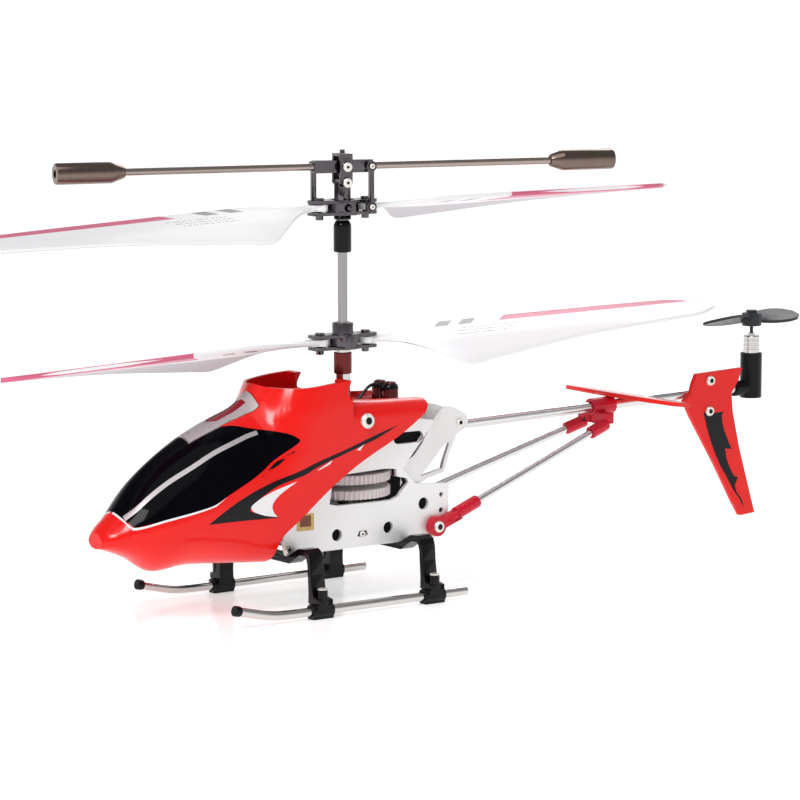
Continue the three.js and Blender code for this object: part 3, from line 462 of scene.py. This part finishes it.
# The side slits are black patches, painted shade standing for the dark inside of the vent slots.
SLITS = [[(-30.8, 31.1), (-25.9, 34.3), (-24.2, 34.8), (-25.6, 33.1)], [(-24.2, 35.2), (-21.5, 36.5), (-22.5, 35.6)]]
DECAL_BLACK = surface("decal_black", (0.006, 0.005, 0.007), 0.2, mottle=0.2, soften=0.0, specular=0.2)
# White for the printed border and flame, and for the painted highlights of the glints.
WHITE_PRINT_AND_HIGHLIGHT = surface("white_print_and_highlight", (0.88, 0.87, 0.88), 0.25, mottle=0.02)
for side, name in ((1, "port"), (-1, "starboard")):
    print_and_painted_light_patch("window_pillar_" + name, PILLAR, FINISH["silver_trim"], side, 0.04, slot="silver_trim")
    print_and_painted_light_patch("window_border_" + name, BORDER, WHITE_PRINT_AND_HIGHLIGHT, side, 0.05)
    print_and_painted_light_patch("swoosh_" + name, SWOOSH, DECAL_BLACK, side)
    print_and_painted_light_patch("flame_" + name, FLAME, WHITE_PRINT_AND_HIGHLIGHT, side, 0.045)
    for i, (outline, slit) in enumerate(zip(GLINTS, SLITS)):
        print_and_painted_light_patch(f"glint_{i + 1}_{name}", outline, WHITE_PRINT_AND_HIGHLIGHT, side, 0.045)
        print_and_painted_light_patch(f"side_slit_shade_{i + 1}_{name}", slit, FINISH["black_plastic"], side, 0.02)


# ---------------------------------------------------------------- main blades
ROTOR_RADIUS, PIN_R, BLADE_THICK = 95.0, 6.0, 1.1
chord_behind = along([(7, 1.5), (9, 1.8), (14, 5.2), (20, 11.4), (25, 15.6), (32, 14.4), (60, 9.8), (84, 7.6),
                      (90, 6.6), (95, 3.6)])
chord_ahead = along([(7, 1.5), (9, 1.6), (14, 2.4), (20, 4.3), (25, 5), (40, 5.2), (86, 5.2), (90, 3.4), (95, -1)])
pitch_at = along([(7, 0), (10, 4), (20, 18), (27, 22), (60, 17), (95, 11.5)])


def blade_finish(stripe):
    """White with a pink leading-edge stripe, two grey slashes and three broken grey rules, and painted shade in grey on
    the underside's rear part.
    """
    mat = surface(f"blade_paint_{stripe:.0f}", (0.955, 0.955, 0.965), 0.34, mottle=0.008, spread=0.02)
    nodes, links = mat.node_tree.nodes, mat.node_tree.links

    def read(name):
        node = nodes.new("ShaderNodeAttribute")
        node.attribute_name = name
        return node.outputs["Fac"]

    def math_node(how, a, b):
        node = nodes.new("ShaderNodeMath")
        node.operation = how
        for i, v in enumerate((a, b)):
            if isinstance(v, float):
                node.inputs[i].default_value = v
            else:
                links.new(v, node.inputs[i])
        return node.outputs[0]

    def band(value, low, high):
        return math_node("MULTIPLY", math_node("GREATER_THAN", value, low), math_node("LESS_THAN", value, high))

    span, across, upper = read("span"), read("across"), read("upper")
    slanted = math_node("ADD", span, math_node("MULTIPLY", across, -0.9))
    below = math_node("LESS_THAN", upper, 0.5)
    above = math_node("GREATER_THAN", upper, 0.5)
    # Painted shade: the rear part of the underside is greyed where it faces down, away from the light.
    painted(mat, (0.52, 0.49, 0.53), [math_node("LESS_THAN", across, -4.6), below])
    painted(mat, (0.70, 0.13, 0.24), [band(slanted, 39.0, 88.5), band(across, 5.2 - stripe, 5.3)])
    for start in (22.5, 28.5):
        painted(mat, (0.30, 0.29, 0.31), [band(slanted, start, start + 3.4), band(across, 1.6, 4.4)])
    dash = nodes.new("ShaderNodeTexNoise")
    dash.noise_dimensions = "1D"
    dash.inputs["Scale"].default_value = 1.3
    links.new(span, dash.inputs["W"])
    broken = math_node("GREATER_THAN", dash.outputs["Fac"], 0.46)
    for row in (-0.6, -2.1, -3.6):
        painted(mat, (0.50, 0.49, 0.51), [band(slanted, 30.0, 44.5), band(across, row - 0.25, row + 0.25), broken,
                                          above])
    return mat


BLADE_PAINT = {3.4: blade_finish(3.4), 6.4: blade_finish(6.4)}
CREASE_AT = -5.0  # chordwise place of the fold along a blade


def blade(node, grip_azimuth, z, azimuth, turn, cone, twist, stripe):
    """A twisted, tapered blade hung on its grip pin."""
    pin = Vector((PIN_R * math.cos(math.radians(grip_azimuth)), PIN_R * math.sin(math.radians(grip_azimuth))))
    tip = Vector((ROTOR_RADIUS * math.cos(math.radians(azimuth)), ROTOR_RADIUS * math.sin(math.radians(azimuth))))
    out = (tip - pin).normalized()
    side = Vector((-out.y, out.x))

    def at(r, y, h):
        p = pin + out * (r - PIN_R) + side * y
        return (p.x, p.y, z + h)

    spans, chords = 72, 18
    rings, facts = [], []
    for i in range(spans + 1):
        u = i / spans
        r = PIN_R + 1 + (ROTOR_RADIUS - PIN_R - 1) * (0.35 * u + 0.65 * u * u * (1.6 - 0.6 * u))
        ahead = chord_ahead(r)
        behind = max(chord_behind(r), 0.4 - ahead)
        pitch = math.radians(pitch_at(r)) * twist
        rise = math.tan(math.radians(cone)) * (r - PIN_R)
        ring = []
        for half in (1, -1):
            for k in range(chords + 1):
                v = k / chords if half > 0 else 1 - k / chords
                if half < 0 and k in (0, chords):
                    continue
                across = -behind + (ahead + behind) * (0.5 - 0.5 * math.cos(math.pi * v))
                nose = min((ahead - across) / 0.6, 1)
                heel = min((across + behind) / 0.4, 1)
                thick = BLADE_THICK * (1.1 if r < 11 else 1) * (0.55 + 0.45 * min(max((across + 9) / 9, 0), 1)) / 2
                thick *= math.sqrt(max(1 - (1 - nose) ** 2, 0)) * math.sqrt(max(1 - (1 - heel) ** 2, 0))
                fold = 0.7 * across if across > CREASE_AT else 0.7 * CREASE_AT + 1.12 * (across - CREASE_AT)
                settle = min(max((r - 12) / 10, 0), 1)
                drop = across + (fold - across) * settle
                flat = at(r, turn * across * math.cos(pitch), half * thick + math.sin(pitch) * drop + rise)
                ring.append(flat)
                facts.append((r, across, 1.0 if half > 0 else 0.0))
        rings.append(ring)
    shape = skin(node + "_airfoil", rings)
    for i, name in enumerate(("span", "across", "upper")):
        shape.data.attributes.new(name, "FLOAT", "POINT").data.foreach_set("value", [f[i] for f in facts])
    disc = [at(PIN_R + 1.9 * math.cos(t), 1.9 * math.sin(t), 0)[:2] for t in [math.tau * k / 40 for k in range(40)]]
    hole = [at(PIN_R + 0.85 * math.cos(t), 0.85 * math.sin(t), 0)[:2] for t in [math.tau * k / 32 for k in range(32)]]
    cut(shape, prism("root", disc, z - 0.7, z + 0.7, "z"), "UNION")
    tab = [at(PIN_R + a, b, 0)[:2] for a, b in ((0.1, -1.4), (3.1, -1.4), (3.1, 1.4), (0.1, 1.4))]
    cut(shape, prism("tab", tab, z - 0.7, z + 0.7, "z"), "UNION")
    cut(shape, prism("hole", hole, z - 3, z + 3, "z"))
    return dressed(smooth(shape, 40), BLADE_PAINT[stripe], body_of(node), node, slot="blade_white")


for i in (0, 1):
    blade(f"lower_blade_{i + 1}", 86.8 + 180 * i, 57.65, (80.1, 271.6)[i], 1, (2.5, -1.3)[i], 1.0, (3.4, 6.4)[i])
    blade(f"upper_blade_{i + 1}", 86.6 + 180 * i, 87.65, (89.6, 263.6)[i], -1, (0.5, -3.3)[i], 0.8, (6.4, 3.4)[i])


# ---------------------------------------------------------------- rods, shafts, tubes and other turned pieces
def lathe(name, start, end, profile, sides=48):
    """A closed turned shape from (distance along, radius) pairs measured from start towards end."""
    a = Vector(start)
    axis = (Vector(end) - a).normalized()
    u = axis.orthogonal().normalized()
    v = axis.cross(u)
    on_axis = profile[0][1] == 0
    rings = []
    for d, r in profile:
        if r == 0:
            continue
        rings.append([tuple(a + axis * d + (u * math.cos(t) + v * math.sin(t)) * r)
                      for t in [math.tau * k / sides for k in range(sides)]])
    if not on_axis:
        rings.append(rings[0])
        shape = skin(name, rings, capped=False)
        tools = bmesh.new()
        tools.from_mesh(shape.data)
        bmesh.ops.remove_doubles(tools, verts=tools.verts, dist=1e-7)
        bmesh.ops.recalc_face_normals(tools, faces=tools.faces)
        tools.to_mesh(shape.data)
        tools.free()
    else:
        shape = skin(name, rings)
    return smooth(shape, 30)


def rod_profile(length, r, ease=0.15):
    return [(0, 0), (0, r - ease), (ease, r), (length - ease, r), (length, r - ease), (length, 0)]


def tube_profile(length, r, bore, ease=0.12):
    return [(ease, bore), (0, bore + ease), (0, r - ease), (ease, r), (length - ease, r), (length, r - ease),
            (length, bore + ease), (length - ease, bore)]


def turned(node, start, end, profile=None, r=None, mat=None):
    length = (Vector(end) - Vector(start)).length
    shape = lathe(node + "_turned", start, end, profile or rod_profile(length, r))
    return dressed(shape, mat or FINISH[SLOT[node]], body_of(node), node, slot=SLOT[node])


def boom_at(y):
    return (0, y, 36.0 + (y - 26) * 2.0 / 92.5)


turned("tail_boom", boom_at(26), boom_at(118.5), r=1.2)
# The inner shaft's steel is darkened, painted shade for the dark reflections down its sides.
turned("inner_shaft", (0, 0, 18.4), (0, 0, 84), r=1.1,
       mat=surface("shaft_steel_painted_shade", (0.34, 0.32, 0.32), 0.16, metal=1.0))
turned("outer_shaft", (0, 0, 25.9), (0, 0, 62), tube_profile(36.1, 1.65, 1.35, 0.05))
turned("lower_shaft_collar", (0, 0, 50.4), (0, 0, 55.2), tube_profile(4.8, 2.05, 1.75), mat=FINISH["motor_can"])
turned("upper_shaft_collar", (0, 0, 77.6), (0, 0, 84.7),
       [(0, 1.2), (0, 1.8), (0.2, 2.0), (5.6, 2.0), (6.2, 1.95), (7.0, 1.5), (7.1, 1.35), (7.1, 0.4), (6.6, 0.4),
        (6.6, 1.2)])
turned("tail_motor", (0, TAIL_Y, 42.1), (0, TAIL_Y, 51.2),
       [(0, 0), (0, 1.9), (0.1, 2.0), (5.2, 2.0), (5.3, 1.85), (5.6, 1.85), (5.7, 2.0), (6.2, 2.0), (6.3, 1.85),
        (6.6, 1.85), (6.7, 2.0), (7.2, 2.0), (7.3, 1.85), (7.6, 1.85), (7.7, 2.0), (8.3, 2.0), (8.5, 1.85),
        (8.5, 0.95), (9.1, 0.9), (9.1, 0.62), (6, 0.62), (6, 0)])
BRACE_LOW, BRACE_HIGH = Vector((9.9, 28.2, 19)), Vector((4.2, 71, 32.6))
FLY = Vector((math.cos(math.radians(FLYBAR_AZIMUTH)), math.sin(math.radians(FLYBAR_AZIMUTH)), 0))
turned("flybar_rod", FLY * -65.6 + Vector((0, 0, FLYBAR_Z)), FLY * 65.6 + Vector((0, 0, FLYBAR_Z)), r=0.8,
       mat=surface("rod_steel", (0.40, 0.33, 0.30), 0.2, metal=1.0))
for i, s in ((1, 1), (2, -1)):
    turned(f"flybar_weight_{i}", FLY * s * 50.8 + Vector((0, 0, FLYBAR_Z)), FLY * s * 66.5 + Vector((0, 0, FLYBAR_Z)),
           [(0, 0.92), (0, 1.2), (0.15, 1.35), (2.4, 2.1), (2.9, 2.3), (3.3, 2.35), (15.3, 2.35), (15.6, 2.25),
            (15.7, 2.1), (15.7, 0.92)])
CAN = surface("motor_lacquer", (0.12, 0.022, 0.018), 0.12, metal=0.75, mottle=0.15)
for side, name in ((1, "port"), (-1, "starboard")):
    flip = Vector((side, 1, 1))
    turned("brace_rod_" + name, BRACE_LOW * flip, BRACE_HIGH * flip, r=0.85, mat=FINISH["boom_alloy"])
    top = Vector((1.95 * side, 11.7, 0))
    turned("main_motor_" + name, top + Vector((0, 0, 31)), top + Vector((0, 0, 47.8)),
           [(0, 0), (0, 1.7), (0.15, 1.85), (15.2, 1.85), (15.6, 1.7), (15.7, 1.45), (16.4, 1.4), (16.8, 1.1),
            (16.8, 0)], mat=CAN)
    cap = lathe("motor_cap_" + name, top + Vector((0, 0, 46.2)), top + Vector((0, 0, 48)),
                [(0, 0), (0, 1.92), (0.3, 1.92), (0.9, 1.7), (1.4, 1.2), (1.7, 0.6), (1.7, 0)])
    dressed(cap, FINISH["black_gloss"], body_of("main_motor_" + name))
    path = curve([(SKID_X * side, y, z) for y, z in ((20, 1.75), (5, 1.75), (-10, 1.75), (-22, 1.75), (-29, 1.8),
                                                  (-33, 2.1), (-37, 2.9), (-41, 3.85))], 6)
    rings = []
    for k, p in enumerate(path):
        ahead = Vector(path[min(k + 1, len(path) - 1)]) - Vector(path[max(k - 1, 0)])
        ahead.normalize()
        u = Vector((1, 0, 0))
        v = ahead.cross(u)
        for scale, back in (((0.85, 0.0), (1.0, 0.15)) if k == 0 else ((1.0, 0.0),)):
            rings.append([tuple(Vector(p) + ahead * back + (u * math.cos(t) + v * math.sin(t)) * scale)
                          for t in [math.tau * m / 40 for m in range(40)]])
    tube = skin("skid_tube_" + name + "_swept", rings)
    dressed(smooth(tube, 40), FINISH["steel"], body_of("skid_tube_" + name), "skid_tube_" + name,
            slot=SLOT["skid_tube_" + name])
    # A black disc on the tube's open end is painted shade for its dark bore.
    bore = lathe("skid_tube_bore_shade_" + name, (SKID_X * side, 19.9, 1.75), (SKID_X * side, 20.06, 1.75),
                 [(0, 0), (0, 0.62), (0.14, 0.62), (0.14, 0)])
    dressed(bore, FINISH["black_plastic"], body_of("skid_tube_" + name))


# ---------------------------------------------------------------- small fittings
def screw(node, at, facing, r, height, body=None, hole=None):
    """A pale ring round a socket, standing at a point and facing outwards; a black disc in the socket is painted shade.
    """
    at, facing = Vector(at), Vector(facing).normalized()
    hole = hole or r * 0.5
    name = node + "_head"
    ring = lathe(name, at, at + facing, [(0, 0), (0, r), (height * 0.6, r), (height, r * 0.82), (height, hole),
                                         (height * 0.75, hole), (height * 0.75, 0)])
    # Painted shade: a black disc at the floor of the socket.
    socket_shade = lathe(name + "_socket", at + facing * height * 0.7, at + facing * height, [
        (0, 0), (0, hole * 0.98), (height * 0.12, hole * 0.96), (height * 0.12, 0)])
    where = body or body_of(node)
    if body:
        dressed(ring, PALE_METAL, where)
    else:
        dressed(ring, PALE_METAL, where, node, slot=SLOT[node])
    dressed(socket_shade, FINISH["black_plastic"], where)


PALE_METAL = surface("pale_metal", (0.86, 0.84, 0.78), 0.25, metal=0.6)
tilt = Vector((0.995, 0, 0.1))
for side, name in ((1, "port"), (-1, "starboard")):
    flip = Vector((side, 1, 1))
    screw("canopy_screw_" + name, (Vector((12.5, -2.5, 41.2)) + tilt * 0.12) * flip, tilt * flip, 1.7, 0.95, hole=0.85)
    screw("brace_screw_" + name, Vector((11.25, 18.4, 15.3)) * flip, Vector((1, 0, 0)) * flip, 1.3, 0.75, hole=0.7)
screw("fin_screw_upper", (2.5, 106.8, 40.9), (1, 0, 0), 1.2, 0.8, hole=0.6)
screw("fin_screw_lower", (2.5, 106.6, 33.5), (1, 0, 0), 1.2, 0.8, hole=0.6)
across_bar = Vector((FLY.y, -FLY.x, 0))
for i, z in enumerate((93.2, FLYBAR_Z)):
    for s in (1, -1):
        screw(f"hub_screw_{i + 1}{'a' if s > 0 else 'b'}", across_bar * s * 3.25 + Vector((0, 0, z)), across_bar * s,
              1.05, 0.35, body=body_of("rotor_hub"), hole=0.35)
for z in (FLYBAR_Z, 87.65):
    for s in (1, -1):
        at = FLY * 5.96 * s + across_bar * s * 3.05 + Vector((0, 0, z))
        screw(f"link_pin_{int(z)}{'a' if s > 0 else 'b'}", at, across_bar * s, 0.62, 0.3, hole=0.2,
              body=body_of("flybar_seesaw" if z > 90 else "upper_blade_grip"))
for at_y, which in ((-19.9, "front"), (10.5, "rear")):
    for side, name in ((1, "port"), (-1, "starboard")):
        at = (side * 20.7, at_y - 0.3, 6.55)
        top = lathe(f"peg_top_{which}_{name}", at, (at[0], at[1], 7), [(0, 0), (0, 1.1), (0.25, 1.05), (0.4, 0.85),
                                                                     (0.45, 0)])
        dressed(top, PALE_METAL, "airframe")
# A black sheet behind the plates' small holes as painted shade, a square sticker and two frame screws.
HOLE_SHADE = surface("hole_shade_black", (0.004, 0.004, 0.004), 0.6, specular=0.1, mottle=0.3)
GOLD = surface("sticker_gold", (0.62, 0.42, 0.16), 0.35, metal=0.3, mottle=0.35, grain=1400)
BROWN = surface("sticker_brown", (0.22, 0.06, 0.015), 0.4, mottle=0.7, grain=1800)
HOLE_SHADE_OUTLINE = [(-21.4, 13.2), (18.5, 13.2), (21, 14.8), (21.8, 17.2), (22.2, 24.0), (13.4, 24.8), (9.4, 28.6),
          (12.2, 32.4), (16.8, 37.4), (16.8, 38.6), (12.6, 39.4), (2, 39.8), (-7.6, 37.2), (-15.6, 29.4),
          (-21.2, 21.6), (-22.4, 16.2)]
GEAR_WINDOW = [(-10.3, 22.9), (-8, 22.4), (6.6, 22.3), (8.6, 23), (9.4, 24.2), (10.4, 25.8), (10.1, 26.8),
               (8.2, 27.4), (8, 28.9), (4.4, 29.5), (-7.6, 29.1), (-9.6, 27)]
for side, name in ((1, "port"), (-1, "starboard")):
    x0, x1 = sorted((side * 8.31, side * 8.39))
    hole_shade_sheet = prism("plate_hole_shade_" + name, HOLE_SHADE_OUTLINE, x0, x1)
    cut(hole_shade_sheet, prism("window", GEAR_WINDOW, x0 - 1, x1 + 1))
    dressed(smooth(hole_shade_sheet), HOLE_SHADE, "airframe")
    x0, x1 = sorted((side * 9.41, side * 9.46))
    sheet = prism("sticker_" + name, [(-19.2, 17.7), (-14.6, 17.6), (-14.6, 21.4), (-19.1, 21.6)], x0, x1)
    dressed(smooth(sheet), GOLD, "airframe")
    x0, x1 = sorted((side * 9.45, side * 9.5))
    sheet = prism("sticker_print_" + name, [(-18.4, 18.6), (-15.4, 18.5), (-15.4, 21.0), (-18.3, 21.1)], x0, x1)
    dressed(smooth(sheet), BROWN, "airframe")
    screw(f"frame_screw_low_{name}", (side * 9.35, -21.4, 13.9), (side, 0, 0), 0.95, 0.5, body="airframe", hole=0.4)
    screw(f"frame_screw_mid_{name}", (side * 9.0, -1.2, 15.3), (side, 0, 0), 0.75, 0.35, body="airframe", hole=0.3)

# The fin's jagged decal, on its outer face.
FIN_MARK = [(104.9, 33.3), (105.9, 29.8), (107.3, 26.0), (108.9, 22.6), (110.6, 19.6), (112.5, 16.9), (114.7, 13.5),
            (116.7, 11.2), (118.3, 8.6), (117.5, 10.9), (115.8, 12.9), (115.2, 14.6), (116.2, 16.5), (114.9, 16.9),
            (113.6, 18.9), (112.4, 21.4), (111.9, 23.9), (114.0, 23.6), (112.9, 25.7), (111.5, 28.5), (110.9, 30.5),
            (110.7, 32.2), (111.4, 33.0), (107.2, 32.8)]
dressed(smooth(prism("fin_mark_port", FIN_MARK, 2.545, 2.6)), DECAL_BLACK, "airframe")
dressed(smooth(prism("fin_mark_starboard", FIN_MARK, 1.3, 1.355)), DECAL_BLACK, "airframe")

# The boom brackets: a cranked strip up to a boss, with an open triangle behind it.
# The frame alloy again with its colour darkened, as painted shade for the bent strip.
SHADED_BRACKET_ALLOY = surface("bracket_alloy_painted_shade", (0.80, 0.79, 0.78), 0.34, metal=0.55, mottle=0.02, bump=0.04)
CRANK = [(8.3, 9), (8.3, 16), (3.6, 25.8), (3.6, 37), (2.7, 37), (2.7, 25.4), (7.4, 15.6), (7.4, 9)]
ARM = [(9.2, 29), (11.4, 24.8), (14, 25), (18, 25.8), (25.6, 26.2), (27.2, 30.4), (29.4, 34.6)] + curve(
    [(32.4, 36.4), (32.2, 38.6), (29, 40.6), (26, 41.2), (23.4, 40.6)], 5) + [(19.5, 37.9), (13.7, 31.6)]
ARM_GAP = [(15.4, 26.7), (24.9, 27.1), (27.2, 32.6), (26.6, 32.9)]
for side, name in ((1, "port"), (-1, "starboard")):
    bracket = prism("boom_bracket_form_" + name, [(side * x, y) for x, y in CRANK], 20, 45, "z")
    cut(bracket, prism("arm", ARM, -14, 14), "INTERSECT")
    cut(bracket, prism("gap", ARM_GAP, -14, 14))
    dressed(smooth(bracket, 30), SHADED_BRACKET_ALLOY, "airframe", "boom_bracket_" + name, slot=SLOT["boom_bracket_" + name])
    screw("boom_screw_" + name, (side * 3.6, 30.2, 37.2), (side, 0, 0), 0.95, 0.5, body="airframe", hole=0.5)

# ---------------------------------------------------------------- everything else keeps its CAD shape, edges eased
done = {n for o in scene.objects for n in o.get("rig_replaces", [])}
CHROME = surface("dark_chrome", (0.11, 0.10, 0.11), 0.14, metal=1.0, mottle=0.1)
MAST_FITTINGS = ("rotor_hub", "upper_blade_grip", "lower_blade_grip", "flybar_seesaw", "flybar_link")
WIDTH = {"control_board": 0.05, "motor_lead": 0, "brace_screw_port": 0.1, "brace_screw_starboard": 0.1}
for node in sorted(set(SLOT) - done):
    mat = CHROME if node.startswith(MAST_FITTINGS) else None
    fine(node, WIDTH.get(node, 0.12), mat=mat)


# ---------------------------------------------------------------- floor and light
def staged_plane(name, half, z, mat):
    mesh = bpy.data.meshes.new(name)
    mesh.from_pydata([(-half, -half, z), (half, -half, z), (half, half, z), (-half, half, z)], [], [(0, 1, 2, 3)])
    mesh.materials.append(mat)
    plane = bpy.data.objects.new(name, mesh)
    scene.collection.objects.link(plane)
    return plane


FLOOR_WHITE = surface("floor_white", (0.93, 0.93, 0.93), 0.16, mottle=0.005, spread=0.02, grain=20, specular=0.22)
FLOOR_WHITE.node_tree.nodes["Principled BSDF"].inputs["Emission Color"].default_value = (1, 1, 1, 1)
FLOOR_WHITE.node_tree.nodes["Principled BSDF"].inputs["Emission Strength"].default_value = 0.46
staged_plane("floor", 12.0, 0.0, FLOOR_WHITE)

world = bpy.data.worlds.new("studio")
scene.world = world
world.use_nodes = True
sky, links = world.node_tree.nodes, world.node_tree.links
direction = sky.new("ShaderNodeTexCoord")
parts = sky.new("ShaderNodeSeparateXYZ")
ramp = sky.new("ShaderNodeValToRGB")
links.new(direction.outputs["Generated"], parts.inputs["Vector"])
links.new(parts.outputs["Z"], ramp.inputs["Fac"])
ramp.color_ramp.elements[0].position = 0.03
ramp.color_ramp.elements[0].color = (1, 1, 1, 1)
ramp.color_ramp.elements[1].position = 0.4
ramp.color_ramp.elements[1].color = (0.36, 0.36, 0.37, 1)
links.new(ramp.outputs["Color"], sky["Background"].inputs["Color"])
sky["Background"].inputs["Strength"].default_value = 0.85


def sun(name, strength, softness, azimuth, elevation):
    lamp = bpy.data.lights.new(name, "SUN")
    lamp.energy = strength
    lamp.angle = math.radians(softness)
    light = bpy.data.objects.new(name, lamp)
    scene.collection.objects.link(light)
    a, e = math.radians(azimuth), math.radians(elevation)
    towards = Vector((math.cos(a) * math.cos(e), math.sin(a) * math.cos(e), math.sin(e)))
    light.rotation_euler = towards.to_track_quat("Z", "Y").to_euler()


def softbox(name, at, facing, width, height, power):
    lamp = bpy.data.lights.new(name, "AREA")
    lamp.shape = "RECTANGLE"
    lamp.size, lamp.size_y = width, height
    lamp.energy = power
    light = bpy.data.objects.new(name, lamp)
    scene.collection.objects.link(light)
    light.location = at
    light.rotation_euler = (Vector(at) - Vector(facing)).to_track_quat("Z", "Y").to_euler()


sun("overhead", 0.75, 50, -60, 62)
softbox("key", (0.25, -0.55, 0.55), (0, 0, 0.04), 0.22, 0.14, 2.0)
softbox("rim", (-0.35, 0.45, 0.45), (0, 0, 0.05), 0.4, 0.2, 1.0)
